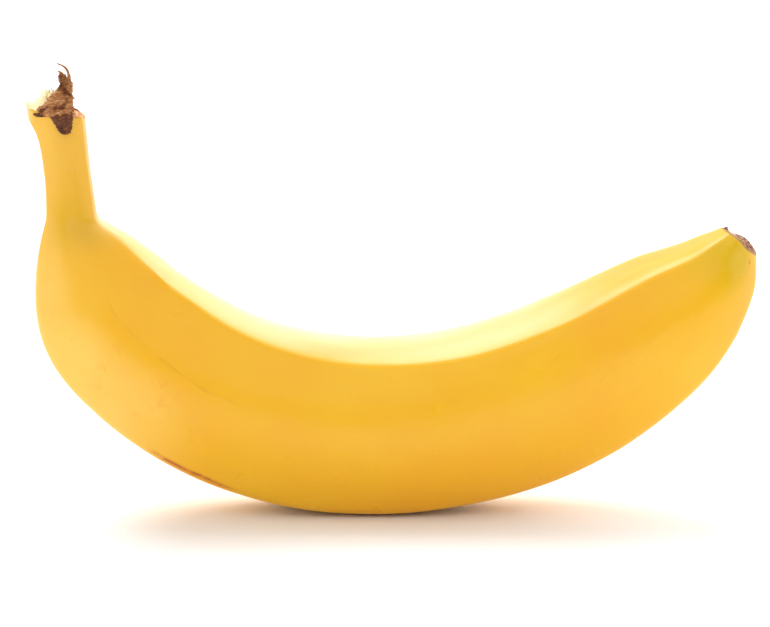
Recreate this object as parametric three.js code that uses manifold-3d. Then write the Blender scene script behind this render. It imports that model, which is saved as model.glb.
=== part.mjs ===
// A ripe banana lying on its curved back, both ends up. Millimetres, +Z up.
// The torn stem is towards -X, the blossom end towards +X, and the fruit bends in the plane Y = 0.
import Module from 'manifold-3d';
import * as THREE from 'three';
import { LoftGeometry } from 'three/addons/geometries/LoftGeometry.js';
import { mergeVertices } from 'three/addons/utils/BufferGeometryUtils.js';

// ---- Centre line: four arcs that run on from each other, stem end first (mm, degrees) ----
const STEM_DIRECTION = -82; // the way the line sets off at the torn end, 0 being towards +X
const STEM_LENGTH = 24;
const STEM_BEND = -10;
const SHOULDER_LENGTH = 33;
const SHOULDER_BEND = 56;
const BODY_LENGTH = 138.5;
const BODY_BEND = 83;
const TIP_LENGTH = 16.2;
const TIP_BEND = 3;

// ---- Callipers at each station: from the centre line in to the inner (hollow) side of the bend,
// ---- out to its outer side, and the whole width square to the bend (mm) ----
const STEM_END_INNER = 5.1;
const STEM_END_OUTER = 8.2;
const STEM_END_WIDTH = 12.8;
const STEM_FLARE_INNER = 4.8;
const STEM_FLARE_OUTER = 6.4;
const STEM_FLARE_WIDTH = 11.4;
const STEM_WAIST_INNER = 4.8;
const STEM_WAIST_OUTER = 5.6;
const STEM_WAIST_WIDTH = 10.5;
const NECK_INNER = 6.1;
const NECK_OUTER = 5.5;
const NECK_WIDTH = 12;
const CROOK_INNER = 11.2;
const CROOK_OUTER = 6.3;
const CROOK_WIDTH = 15.5;
const COLLAR_INNER = 15.3;
const COLLAR_OUTER = 8.6;
const COLLAR_WIDTH = 21;
const NAPE_INNER = 17.9;
const NAPE_OUTER = 12.6;
const NAPE_WIDTH = 28;
const SHOULDER_INNER = 19.6;
const SHOULDER_OUTER = 16.2;
const SHOULDER_WIDTH = 33;
const QUARTER_INNER = 19.6;
const QUARTER_OUTER = 19.5;
const QUARTER_WIDTH = 36.5;
const BELLY_INNER = 20.5;
const BELLY_OUTER = 19.3;
const BELLY_WIDTH = 37;
const FORE_INNER = 19.7;
const FORE_OUTER = 17.7;
const FORE_WIDTH = 35;
const TAPER_INNER = 14.8;
const TAPER_OUTER = 14.3;
const TAPER_WIDTH = 28;
const TIP_INNER = 9.4;
const TIP_OUTER = 10.6;
const TIP_WIDTH = 20.5;
const BROW_INNER = 7.3; // the brow is the rounded last turn in to the scar
const BROW_OUTER = 8;
const BROW_WIDTH = 15.6;
const SCAR_END_INNER = 5.4;
const SCAR_END_OUTER = 4.6;
const SCAR_END_WIDTH = 10.4;

// ---- Five-sided section: ridges in degrees round from the back (+Y) by way of the top ----
const TOP_FACE_MIDDLE = 90;
const FRONT_BASE_RIDGE = 242;
const BACK_BASE_RIDGE = 297;
const BACK_RIDGE = 344;
// How far the two top ridges stand either side of the middle of the top face.
const NECK_TOP_SPREAD = 24;
const SHOULDER_TOP_SPREAD = 32;
const QUARTER_TOP_SPREAD = 38;
const BELLY_TOP_SPREAD = 45;
const TAPER_TOP_SPREAD = 50;
// How flat the faces are between the ridges: 0 gives a round section, 1 a straight-sided one.
const ROUND = 0.15;
const SOFT = 0.3;
const FACETED = 0.42;

// ---- Torn end of the stem and blossom scar ----
const TEAR_HEIGHT = 9.5;
const TEAR_SHOULDER_HEIGHT = 5; // of the lower ragged shoulder beside the peak
const TEAR_LIP_HEIGHT = 2.5; // at either side, where the tongue leaves the skin
const TEAR_THICKNESS = 4;
const TEAR_ROOT = 4; // how deep the torn tissue is rooted in the stem
const TEAR_INSET = 0.8; // of the tongue's sides from the skin of the stem's end
const SCAR_MARGIN = 0.5; // of skin round the scar
const SCAR_RISE = 0.7;
const SCAR_ROOT = 2;

// ---- Small flat where the soft skin bears on the table ----
const REST_FLAT_DEPTH = 0.4;

// ---- How finely the skin is stepped ----
const STEPS_PER_FACE = 8;
const SCAR_SIDES = 24;

const arcs = [
  { length: STEM_LENGTH, bend: STEM_BEND, steps: 8 },
  { length: SHOULDER_LENGTH, bend: SHOULDER_BEND, steps: 16 },
  { length: BODY_LENGTH, bend: BODY_BEND, steps: 26 },
  { length: TIP_LENGTH, bend: TIP_BEND, steps: 8 },
];
const [STEM, SHOULDER, BODY, TIP] = arcs.keys();

/** A station: the arc it stands on, how far along it (0 to 1), and the section there. */
function station(arc, share, inner, outer, width, topSpread, flatness) {
  return { arc, share, section: [inner, outer, width, topSpread, flatness] };
}

const neck = station(STEM, 1, NECK_INNER, NECK_OUTER, NECK_WIDTH, NECK_TOP_SPREAD, SOFT);
const stemStations = [
  station(STEM, 0, STEM_END_INNER, STEM_END_OUTER, STEM_END_WIDTH, NECK_TOP_SPREAD, SOFT),
  station(STEM, 0.17, STEM_FLARE_INNER, STEM_FLARE_OUTER, STEM_FLARE_WIDTH, NECK_TOP_SPREAD, SOFT),
  station(STEM, 0.5, STEM_WAIST_INNER, STEM_WAIST_OUTER, STEM_WAIST_WIDTH, NECK_TOP_SPREAD, SOFT),
  neck,
];
const fruitStations = [
  neck,
  station(SHOULDER, 0.05, CROOK_INNER, CROOK_OUTER, CROOK_WIDTH, NECK_TOP_SPREAD, SOFT),
  station(SHOULDER, 0.22, COLLAR_INNER, COLLAR_OUTER, COLLAR_WIDTH, SHOULDER_TOP_SPREAD, SOFT),
  station(SHOULDER, 0.48, NAPE_INNER, NAPE_OUTER, NAPE_WIDTH, SHOULDER_TOP_SPREAD, FACETED),
  station(SHOULDER, 0.95, SHOULDER_INNER, SHOULDER_OUTER, SHOULDER_WIDTH, SHOULDER_TOP_SPREAD, FACETED),
  station(BODY, 0.2, QUARTER_INNER, QUARTER_OUTER, QUARTER_WIDTH, QUARTER_TOP_SPREAD, FACETED),
  station(BODY, 0.5, BELLY_INNER, BELLY_OUTER, BELLY_WIDTH, BELLY_TOP_SPREAD, FACETED),
  station(BODY, 0.8, FORE_INNER, FORE_OUTER, FORE_WIDTH, TAPER_TOP_SPREAD, FACETED),
  station(BODY, 0.98, TAPER_INNER, TAPER_OUTER, TAPER_WIDTH, TAPER_TOP_SPREAD, FACETED),
  station(TIP, 0.48, TIP_INNER, TIP_OUTER, TIP_WIDTH, TAPER_TOP_SPREAD, SOFT),
  station(TIP, 0.76, BROW_INNER, BROW_OUTER, BROW_WIDTH, TAPER_TOP_SPREAD, SOFT),
  station(TIP, 1, SCAR_END_INNER, SCAR_END_OUTER, SCAR_END_WIDTH, TAPER_TOP_SPREAD, ROUND),
];

/** Distance along the whole centre line of a share of one arc. */
function distanceAlong(arc, share) {
  const before = arcs.slice(0, arc).reduce((sum, { length }) => sum + length, 0);
  return before + share * arcs[arc].length;
}

/** Where the centre line is at a share of one arc, and the way it runs there (radians). */
function centreLine(arc, share) {
  const point = new THREE.Vector3();
  let heading = THREE.MathUtils.degToRad(STEM_DIRECTION);
  for (const [index, { length, bend }] of arcs.slice(0, arc + 1).entries()) {
    const part = index === arc ? share : 1;
    const halfTurn = (THREE.MathUtils.degToRad(bend) * part) / 2;
    const chord = halfTurn === 0 ? length * part : (length * part * Math.sin(halfTurn)) / halfTurn;
    point.x += chord * Math.cos(heading + halfTurn);
    point.z += chord * Math.sin(heading + halfTurn);
    heading += 2 * halfTurn;
  }
  return { point, heading };
}

/** Smooth run of section sizes through a list of stations, by distance along the centre line. */
function sizesThrough(stations) {
  const places = stations.map(({ arc, share }) => distanceAlong(arc, share));
  const sizes = stations.flatMap(({ section }) => section);
  return new THREE.CubicInterpolant(places, sizes, stations[0].section.length);
}

/** Five bulging faces between the ridges, about a circle of radius 1, with a point on every ridge. */
function fiveSidedOutline(topSpread, flatness) {
  const backTop = TOP_FACE_MIDDLE - topSpread;
  const frontTop = TOP_FACE_MIDDLE + topSpread;
  const ridges = [backTop, frontTop, FRONT_BASE_RIDGE, BACK_BASE_RIDGE, BACK_RIDGE, backTop + 360];
  const outline = [];
  for (const [face, ridge] of ridges.slice(0, -1).entries()) {
    const middle = THREE.MathUtils.degToRad((ridge + ridges[face + 1]) / 2);
    const half = THREE.MathUtils.degToRad((ridges[face + 1] - ridge) / 2);
    for (let step = 0; step < STEPS_PER_FACE; step += 1) {
      const turn = half * ((2 * step) / STEPS_PER_FACE - 1);
      const reach = 1 - flatness * (1 - Math.cos(half) / Math.cos(turn));
      outline.push(new THREE.Vector2(reach * Math.cos(middle + turn), reach * Math.sin(middle + turn)));
    }
  }
  return outline;
}

/** One ring of skin square to the centre line, with its callipers exact. */
function ring({ point, heading }, [inner, outer, width, topSpread, flatness]) {
  const outline = fiveSidedOutline(topSpread, flatness);
  const box = new THREE.Box2().setFromPoints(outline);
  const toInner = new THREE.Vector3(-Math.sin(heading), 0, Math.cos(heading));
  return outline.map(({ x, y }) => {
    const across = THREE.MathUtils.mapLinear(x, box.min.x, box.max.x, -width / 2, width / 2);
    const inward = THREE.MathUtils.mapLinear(y, box.min.y, box.max.y, -outer, inner);
    return point.clone().addScaledVector(toInner, inward).setY(across);
  });
}

/** The rings of the whole fruit, torn end first. The neck's ring is shared by stem and fruit. */
function rings() {
  const stemSizes = sizesThrough(stemStations);
  const fruitSizes = sizesThrough(fruitStations);
  const all = [];
  for (const [arc, { steps }] of arcs.entries()) {
    const sizes = arc === STEM ? stemSizes : fruitSizes;
    for (let step = arc === STEM ? 0 : 1; step <= steps; step += 1) {
      const share = step / steps;
      all.push(ring(centreLine(arc, share), sizes.evaluate(distanceAlong(arc, share))));
    }
  }
  return all;
}

/** Torn tissue that stands up on the stem's end: a ragged tongue, rooted in the stem. */
function tornTissue() {
  const outerSide = TEAR_INSET - STEM_END_OUTER;
  const innerSide = STEM_END_INNER - TEAR_INSET;
  const outline = new THREE.Shape([
    new THREE.Vector2(outerSide, -TEAR_ROOT),
    new THREE.Vector2(innerSide, -TEAR_ROOT),
    new THREE.Vector2(innerSide, TEAR_LIP_HEIGHT),
    new THREE.Vector2(innerSide / 2, TEAR_HEIGHT),
    new THREE.Vector2(0, TEAR_HEIGHT - TEAR_LIP_HEIGHT),
    new THREE.Vector2(outerSide / 2, TEAR_SHOULDER_HEIGHT),
    new THREE.Vector2(outerSide, TEAR_LIP_HEIGHT),
  ]);
  const tissue = new THREE.ExtrudeGeometry(outline, { depth: TEAR_THICKNESS, bevelEnabled: false });
  const { point, heading } = centreLine(STEM, 0);
  return tissue
    .translate(0, 0, -TEAR_THICKNESS / 2)
    .rotateX(Math.PI / 2)
    .rotateY(-(heading + Math.PI / 2))
    .translate(point.x, 0, point.z);
}

/** Corky disc left at the tip where the flower dropped off. */
function blossomScar() {
  const halfThickness = (SCAR_END_INNER + SCAR_END_OUTER) / 2 - SCAR_MARGIN;
  const halfWidth = SCAR_END_WIDTH / 2 - SCAR_MARGIN;
  const { point, heading } = centreLine(TIP, 1);
  return new THREE.CylinderGeometry(1, 1, SCAR_RISE + SCAR_ROOT, SCAR_SIDES)
    .scale(halfThickness, 1, halfWidth)
    .translate(0, (SCAR_RISE - SCAR_ROOT) / 2, 0)
    .rotateZ(-Math.PI / 2)
    .translate(0, 0, (SCAR_END_INNER - SCAR_END_OUTER) / 2)
    .rotateY(-heading)
    .translate(point.x, 0, point.z);
}

const wasm = await Module();
wasm.setup();

/** Closed geometry as a solid that can be joined and cut. */
function solidFrom(geometry) {
  const plain = new THREE.BufferGeometry();
  plain.setAttribute('position', geometry.getAttribute('position'));
  plain.setIndex(geometry.index);
  const merged = mergeVertices(plain);
  const vertProperties = new Float32Array(merged.attributes.position.array);
  const triVerts = new Uint32Array(merged.index.array);
  return new wasm.Manifold(new wasm.Mesh({ numProp: 3, vertProperties, triVerts }));
}

/** A solid's faces as geometry again. */
function geometryFrom(solid) {
  const { vertProperties, triVerts } = solid.getMesh();
  const geometry = new THREE.BufferGeometry();
  geometry.setAttribute('position', new THREE.BufferAttribute(new Float32Array(vertProperties), 3));
  geometry.setIndex(new THREE.BufferAttribute(new Uint32Array(triVerts), 1));
  geometry.computeVertexNormals();
  return geometry;
}

/** The whole fruit in one solid, its resting flat at Z = 0 and its box centred over the origin. */
function wholeFruit() {
  const body = new LoftGeometry(rings(), { capStart: true, capEnd: true });
  const fruit = geometryFrom(solidFrom(body).add(solidFrom(tornTissue())).add(solidFrom(blossomScar())));
  fruit.computeBoundingBox();
  const { min, max } = fruit.boundingBox;
  fruit.translate(-(min.x + max.x) / 2, -(min.y + max.y) / 2, -min.z - REST_FLAT_DEPTH);
  const size = max.clone().sub(min);
  const table = new THREE.BoxGeometry(size.x, size.y, size.z).translate(0, 0, -size.z / 2);
  return geometryFrom(solidFrom(fruit).subtract(solidFrom(table)));
}

const skin = new THREE.MeshStandardMaterial({ color: 0xf7bf3c, roughness: 0.45, metalness: 0 });
const banana = new THREE.Mesh(wholeFruit(), skin);
banana.name = 'banana';

const model = new THREE.Group();
model.add(banana);
export default model;
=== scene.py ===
"""A ripe banana lying on its curved back on a pale floor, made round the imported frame.

Blender works in metres. The sizes of the fruit are written in millimetres, as on the drawing, and
become metres where a mesh is made. The torn stem is towards -X and the blossom end towards +X.
"""

import logging
import math
import random
from dataclasses import dataclass, field
from enum import Enum
from typing import Callable, Sequence

import bmesh
import bpy
import numpy as np
from mathutils import Matrix, Vector, noise


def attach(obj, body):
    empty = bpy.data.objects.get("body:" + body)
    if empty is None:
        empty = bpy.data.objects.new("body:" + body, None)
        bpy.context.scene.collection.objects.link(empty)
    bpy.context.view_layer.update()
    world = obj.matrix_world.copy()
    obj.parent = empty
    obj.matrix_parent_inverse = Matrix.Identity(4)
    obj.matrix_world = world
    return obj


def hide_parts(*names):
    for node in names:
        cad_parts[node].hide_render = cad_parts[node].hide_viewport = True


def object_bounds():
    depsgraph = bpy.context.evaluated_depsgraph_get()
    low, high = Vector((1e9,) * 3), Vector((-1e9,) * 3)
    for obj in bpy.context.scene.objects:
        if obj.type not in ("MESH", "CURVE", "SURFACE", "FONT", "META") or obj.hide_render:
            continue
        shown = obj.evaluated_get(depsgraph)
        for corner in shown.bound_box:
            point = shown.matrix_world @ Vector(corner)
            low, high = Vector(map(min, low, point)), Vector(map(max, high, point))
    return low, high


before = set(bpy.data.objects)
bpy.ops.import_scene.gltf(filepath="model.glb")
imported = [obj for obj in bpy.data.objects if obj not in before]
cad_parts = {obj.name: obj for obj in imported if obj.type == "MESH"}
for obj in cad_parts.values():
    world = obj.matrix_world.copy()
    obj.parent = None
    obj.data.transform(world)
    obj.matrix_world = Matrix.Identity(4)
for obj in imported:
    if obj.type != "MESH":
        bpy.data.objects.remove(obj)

log = logging.getLogger("banana")

CAD_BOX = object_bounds()
BODY = "root"
MM = 0.001
FAR = 1000.0
ALL_ROUND = (-1.0, 2.0)
PEEL_MAP = "peel"
Colour = tuple[float, float, float]


# ---------------------------------------------------------------------------------------------------
# The form of the fruit, in millimetres
# ---------------------------------------------------------------------------------------------------


class Ridge(Enum):
    """The five lengthwise ridges, by their place round the fruit as a share of a whole turn."""

    BACK_TOP = 0.0
    FRONT_TOP = 0.2
    FRONT_BASE = 0.4
    BACK_BASE = 0.6
    BACK = 0.8


class Side(Enum):
    """Middles of the faces between the ridges, as a share of a whole turn."""

    INNER = 0.1
    OUTER = 0.5
    LOWER_BACK = 0.7


class Datum(Enum):
    """Places along the fruit that marks on the peel are measured from."""

    TORN_END = "torn end"
    NECK = "neck"
    BLOSSOM_END = "blossom end"


@dataclass(frozen=True)
class Arc:
    """One arc of the centre line: its length in mm and how far it bends in degrees."""

    length: float
    bend: float


@dataclass(frozen=True)
class CentreLine:
    """The line the fruit grew along, from the torn end to the blossom scar."""

    first_heading: float = -82.0
    stem: Arc = Arc(24.0, -10.0)
    shoulder: Arc = Arc(33.0, 56.0)
    body: Arc = Arc(138.5, 83.0)
    tip: Arc = Arc(16.2, 3.0)

    @property
    def arcs(self) -> tuple[Arc, ...]:
        """The arcs, stem end first."""
        return self.stem, self.shoulder, self.body, self.tip

    @property
    def length(self) -> float:
        """The whole length in mm."""
        return sum(arc.length for arc in self.arcs)

    def distance(self, arc: Arc, share: float) -> float:
        """Distance along the line of a share of one of its arcs, in mm."""
        before = sum(each.length for each in self.arcs[: self.arcs.index(arc)])
        return before + share * arc.length

    def datum(self, datum: Datum) -> float:
        """Distance along the line of a datum, in mm."""
        places = {Datum.TORN_END: 0.0, Datum.NECK: self.stem.length, Datum.BLOSSOM_END: self.length}
        return places[datum]

    def at(self, distance: float) -> tuple[np.ndarray, float]:
        """Finds a place on the line.

        Args:
            distance: how far along, in mm.

        Returns:
            The point, and the way the line runs there, in radians from +X towards +Z.
        """
        point = np.zeros(3)
        heading = math.radians(self.first_heading)
        left = distance
        for arc in self.arcs:
            if left <= 0.0:
                break
            run = min(left, arc.length)
            half = math.radians(arc.bend) * run / arc.length / 2.0
            chord = run * math.sin(half) / half if half else run
            point += chord * np.array([math.cos(heading + half), 0.0, math.sin(heading + half)])
            heading += 2.0 * half
            left -= run
        return point, heading

    def ways(self, distance: float) -> tuple[np.ndarray, np.ndarray]:
        """The way ahead along the line at a distance, and the way to the inner side of the bend."""
        heading = self.at(distance)[1]
        cosine, sine = math.cos(heading), math.sin(heading)
        return np.array([cosine, 0.0, sine]), np.array([-sine, 0.0, cosine])


@dataclass(frozen=True)
class Section:
    """The fruit's callipers at one place in mm, with the shape of the section there.

    inner and outer run from the centre line to either side of the bend. The two top ridges stand
    top_spread degrees either side of the middle of the top face. flatness 0 is round.
    """

    inner: float
    outer: float
    width: float
    top_spread: float
    flatness: float

    def sizes(self) -> tuple[float, ...]:
        """The sizes in order."""
        return self.inner, self.outer, self.width, self.top_spread, self.flatness


def smooth_run(places: Sequence[float], values: Sequence, where: float) -> np.ndarray:
    """Runs smoothly through values at places.

    Args:
        places: rising distances.
        values: a number, or a row of numbers, for each place.
        where: the distance asked for.

    Returns:
        The value there, whose slope at each place is the mean of the slopes either side of it.
    """
    t = np.asarray(places, float)
    v = np.asarray(values, float).reshape(len(t), -1)
    steps = np.diff(t)[:, None]
    slopes = np.diff(v, axis=0) / steps
    ends = np.vstack([slopes[:1], (slopes[:-1] + slopes[1:]) / 2.0, slopes[-1:]])
    i = int(np.clip(np.searchsorted(t, where) - 1, 0, len(t) - 2))
    p = float(np.clip((where - t[i]) / (t[i + 1] - t[i]), 0.0, 1.0))
    run = t[i + 1] - t[i]
    start = (1 + 2 * p) * (1 - p) ** 2 * v[i] + p * (1 - p) ** 2 * run * ends[i]
    finish = p * p * (3 - 2 * p) * v[i + 1] + p * p * (p - 1) * run * ends[i + 1]
    return start + finish


def smooth_step(value: np.ndarray | float, low: float, high: float) -> np.ndarray | float:
    """Goes smoothly from 0 at low to 1 at high."""
    share = np.clip((value - low) / (high - low), 0.0, 1.0)
    return share * share * (3.0 - 2.0 * share)


def hump(value: np.ndarray | float, middle: float, spread: float) -> np.ndarray | float:
    """A bell of height 1 at the middle, fading over the spread."""
    return np.exp(-(((value - middle) / spread) ** 2))


def ring_hump(around: np.ndarray, middle: float, spread: float) -> np.ndarray:
    """A bell over the share of a turn round the fruit, which closes on itself."""
    return hump((around - middle + 0.5) % 1.0 - 0.5, 0.0, spread)


def rough(points: np.ndarray, size: float, seed: float, octaves: int = 2) -> np.ndarray:
    """Irregular relief between about -1 and 1.

    Args:
        points: rows of three coordinates in mm.
        size: how big its lumps are, in mm.
        seed: sets one relief apart from another.
        octaves: how many finer layers it has.

    Returns:
        One value for each point.
    """
    shift = Vector((seed * 7.31, seed * 3.17, seed * 11.9))
    flat = points.reshape(-1, 3) / size
    values = [noise.fractal(Vector(p) + shift, 0.8, 2.1, octaves) for p in flat]
    return np.array(values).reshape(points.shape[:-1])


@dataclass(frozen=True)
class FruitForm:
    """The outer form of the whole fruit: sections set along the centre line."""

    line: CentreLine = CentreLine()
    stem_end: Section = Section(5.1, 8.2, 12.8, 24.0, 0.3)
    stem_flare: Section = Section(4.8, 6.4, 11.4, 24.0, 0.3)
    stem_waist: Section = Section(4.8, 5.6, 10.5, 24.0, 0.3)
    neck: Section = Section(6.1, 5.5, 12.0, 24.0, 0.3)
    crook: Section = Section(11.2, 6.3, 15.5, 36.0, 0.3)
    collar: Section = Section(14.7, 8.6, 21.0, 36.0, 0.3)
    nape: Section = Section(17.9, 12.6, 28.0, 32.0, 0.42)
    shoulder: Section = Section(19.6, 16.2, 33.0, 32.0, 0.42)
    quarter: Section = Section(19.6, 19.5, 36.5, 38.0, 0.42)
    belly: Section = Section(20.5, 19.3, 37.0, 45.0, 0.42)
    fore: Section = Section(19.7, 17.7, 35.0, 50.0, 0.42)
    taper: Section = Section(14.8, 14.3, 28.0, 50.0, 0.42)
    tip: Section = Section(9.4, 10.6, 20.5, 50.0, 0.3)
    brow: Section = Section(7.3, 8.0, 15.6, 50.0, 0.3)
    scar_end: Section = Section(5.4, 4.6, 10.4, 50.0, 0.15)
    top_face_middle: float = 90.0
    front_base_ridge: float = 242.0
    back_base_ridge: float = 297.0
    back_ridge: float = 344.0
    ridge_crispness: float = 26.0
    rest_flat_depth: float = 0.4
    scar_outer_tilt: float = 0.11
    scar_inner_tilt: float = -0.03
    scar_tilt_turns: tuple[float, float] = (-1.5, 2.5)
    scar_lean: float = 0.12
    seat_columns: int = 81
    seat_rows: int = 160

    def stem_stations(self) -> list[tuple[float, Section]]:
        """Sections of the stem with their distances along the line."""
        line = self.line
        return [
            (0.0, self.stem_end),
            (line.distance(line.stem, 0.17), self.stem_flare),
            (line.distance(line.stem, 0.5), self.stem_waist),
            (line.distance(line.stem, 1.0), self.neck),
        ]

    def fruit_stations(self) -> list[tuple[float, Section]]:
        """Sections from the neck to the scar with their distances along the line."""
        line = self.line
        return [
            (line.distance(line.stem, 1.0), self.neck),
            (line.distance(line.shoulder, 0.05), self.crook),
            (line.distance(line.shoulder, 0.22), self.collar),
            (line.distance(line.shoulder, 0.48), self.nape),
            (line.distance(line.shoulder, 0.95), self.shoulder),
            (line.distance(line.body, 0.2), self.quarter),
            (line.distance(line.body, 0.5), self.belly),
            (line.distance(line.body, 0.8), self.fore),
            (line.distance(line.body, 0.98), self.taper),
            (line.distance(line.tip, 0.48), self.tip),
            (line.distance(line.tip, 0.76), self.brow),
            (line.distance(line.tip, 1.0), self.scar_end),
        ]

    def section_at(self, distance: float) -> Section:
        """The section at a distance along the line."""
        in_stem = distance <= self.line.stem.length
        stations = self.stem_stations() if in_stem else self.fruit_stations()
        places = [place for place, _ in stations]
        return Section(*smooth_run(places, [section.sizes() for _, section in stations], distance))

    def outline(self, section: Section, around: np.ndarray) -> np.ndarray:
        """Five bulging faces with rounded ridges, about a circle of radius 1.

        Args:
            section: the section, for its top spread and flatness.
            around: places round the fruit, 0 to 1.

        Returns:
            Rows of two coordinates: towards the back, and towards the inner side.
        """
        back_top = self.top_face_middle - section.top_spread
        front_top = self.top_face_middle + section.top_spread
        ridges = np.radians(
            [back_top, front_top, self.front_base_ridge, self.back_base_ridge, self.back_ridge,
             back_top + 360.0]
        )
        shares = np.array([*(ridge.value for ridge in Ridge), 1.0])
        angle = np.interp(around, shares, ridges)
        middles = (ridges[1:] + ridges[:-1]) / 2.0
        halves = np.diff(ridges) / 2.0
        lean = np.cos(angle[:, None] - middles[None, :]) / np.cos(halves)[None, :]
        crisp = self.ridge_crispness
        faceted = (np.clip(lean, 0.0, None) ** crisp).sum(axis=1) ** (-1.0 / crisp)
        reach = 1.0 - section.flatness * (1.0 - faceted)
        return np.stack([reach * np.cos(angle), reach * np.sin(angle)], axis=1)

    def ring(self, distance: float, around: np.ndarray) -> np.ndarray:
        """The skin round the fruit at one distance.

        Args:
            distance: how far along the line, in mm.
            around: places round the fruit, 0 to 1.

        Returns:
            Rows of X, Y and Z in mm, before the fruit is set on the floor.
        """
        section = self.section_at(distance)
        point = self.line.at(distance)[0]
        to_inner = self.line.ways(distance)[1]
        outline = self.outline(section, around)
        low, high = outline.min(axis=0), outline.max(axis=0)
        across, inward = ((outline - low) / (high - low)).T
        depth = inward * (section.inner + section.outer) - section.outer
        points = point + depth[:, None] * to_inner
        points[:, 1] = (across - 0.5) * section.width
        return points

    def scar_slant(self, inward: np.ndarray, backward: np.ndarray) -> np.ndarray:
        """How far the blossom end stands ahead of a square cut, in mm.

        Args:
            inward: mm from the centre line towards the inner side of the bend.
            backward: mm towards the back.

        Returns:
            The distance ahead, below 0 where the end is cut back.
        """
        share = smooth_step(inward, *self.scar_tilt_turns)
        tilt = self.scar_outer_tilt + (self.scar_inner_tilt - self.scar_outer_tilt) * share
        return tilt * backward - self.scar_lean * np.clip(inward, 0.0, None)

    def seat(self) -> np.ndarray:
        """The shift in mm that sets the fruit on the floor over the origin, pressed in by its flat."""
        around = np.linspace(0.0, 1.0, self.seat_columns)
        distances = np.linspace(0.0, self.line.length, self.seat_rows)
        skin = np.concatenate([self.ring(distance, around) for distance in distances])
        middle = (CAD_BOX[0].x + CAD_BOX[1].x) / 2.0 / MM
        along = middle - (skin[:, 0].min() + skin[:, 0].max()) / 2.0
        return np.array([along, 0.0, -skin[:, 2].min() - self.rest_flat_depth])


# ---------------------------------------------------------------------------------------------------
# Mesh helpers
# ---------------------------------------------------------------------------------------------------


def wrapped_grid(points: np.ndarray, along: np.ndarray, around: np.ndarray,
                 rowwise: np.ndarray | None = None) -> bmesh.types.BMesh:
    """Wraps a grid round a form and closes its seam and its two ends.

    Args:
        points: rows by columns of X, Y and Z in mm. The last column lies on the first, and the
            first and last rows are single points.
        along: rows by columns of lengthwise map coordinates, in metres.
        around: map coordinate of each column.
        rowwise: map coordinate of each row, in place of each column's.

    Returns:
        The closed mesh in metres, smooth, with its faces pointing out.
    """
    rows, columns = points.shape[:2]
    bm = bmesh.new()
    layer = bm.loops.layers.uv.new(PEEL_MAP)
    bmesh.ops.create_grid(bm, x_segments=columns - 1, y_segments=rows - 1, size=1.0)
    place: dict[bmesh.types.BMVert, tuple[int, int]] = {}
    for vert in bm.verts:
        column = round((vert.co.x + 1.0) / 2.0 * (columns - 1))
        row = round((vert.co.y + 1.0) / 2.0 * (rows - 1))
        place[vert] = (row, column)
    for face in bm.faces:
        face.smooth = True
        for loop in face.loops:
            row, column = place[loop.vert]
            second = around[column] if rowwise is None else rowwise[row]
            loop[layer].uv = (along[row, column], second)
    for vert, (row, column) in place.items():
        vert.co = Vector(points[row, column]) * MM
    bmesh.ops.remove_doubles(bm, verts=bm.verts, dist=1e-7)
    bmesh.ops.recalc_face_normals(bm, faces=bm.faces)
    return bm


def strand(bm: bmesh.types.BMesh, path: Sequence[Vector], radii: Sequence[float],
           sides: int = 6) -> None:
    """Grows a tapered strand along a path, by extruding its end again and again.

    Args:
        bm: the mesh it is added to, in metres.
        path: points in mm, root first.
        radii: radius at each point, in mm.
        sides: how many sides the strand has.
    """
    frames = []
    for index, (point, radius) in enumerate(zip(path, radii)):
        ahead = path[min(index + 1, len(path) - 1)] - path[max(index - 1, 0)]
        turn = ahead.to_track_quat("Z", "Y").to_matrix().to_4x4()
        frames.append(Matrix.Translation(point * MM) @ turn @ Matrix.Scale(radius * MM, 4))
    circle = bmesh.ops.create_circle(bm, cap_ends=True, segments=sides, radius=1.0, matrix=frames[0])
    face = circle["verts"][0].link_faces[0]
    for before, after in zip(frames, frames[1:]):
        grown = bmesh.ops.extrude_face_region(bm, geom=[face])["geom"]
        face = next(item for item in grown if isinstance(item, bmesh.types.BMFace))
        bmesh.ops.transform(bm, matrix=after @ before.inverted(), verts=face.verts)


def finished(name: str, bm: bmesh.types.BMesh, material: bpy.types.Material) -> bpy.types.Object:
    """Makes a mesh into a named piece of the fruit that rides on its body.

    Args:
        name: the piece's name.
        bm: its mesh in metres, freed here.
        material: its finish.

    Returns:
        The piece, at the origin.
    """
    mesh = bpy.data.meshes.new(name)
    bm.to_mesh(mesh)
    bm.free()
    mesh.materials.append(material)
    piece = bpy.data.objects.new(name, mesh)
    bpy.context.scene.collection.objects.link(piece)
    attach(piece, BODY)
    log.info("%s: %d faces", name, len(mesh.polygons))
    return piece


# ---------------------------------------------------------------------------------------------------
# Shader expressions
# ---------------------------------------------------------------------------------------------------

Value = "Signal | float"


@dataclass(frozen=True)
class Signal:
    """A socket on its way through a material, which adds up like a number."""

    graph: "Graph"
    socket: bpy.types.NodeSocket

    def __add__(self, other: Value) -> "Signal":
        """Sum."""
        return self.graph.maths("ADD", self, other)

    __radd__ = __add__

    def __sub__(self, other: Value) -> "Signal":
        """Difference."""
        return self.graph.maths("SUBTRACT", self, other)

    def __rsub__(self, other: Value) -> "Signal":
        """Reflected difference."""
        return self.graph.maths("SUBTRACT", other, self)

    def __mul__(self, other: Value) -> "Signal":
        """Product."""
        return self.graph.maths("MULTIPLY", self, other)

    __rmul__ = __mul__

    def __abs__(self) -> "Signal":
        """Size without its sign."""
        return self.graph.maths("ABSOLUTE", self)


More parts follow.
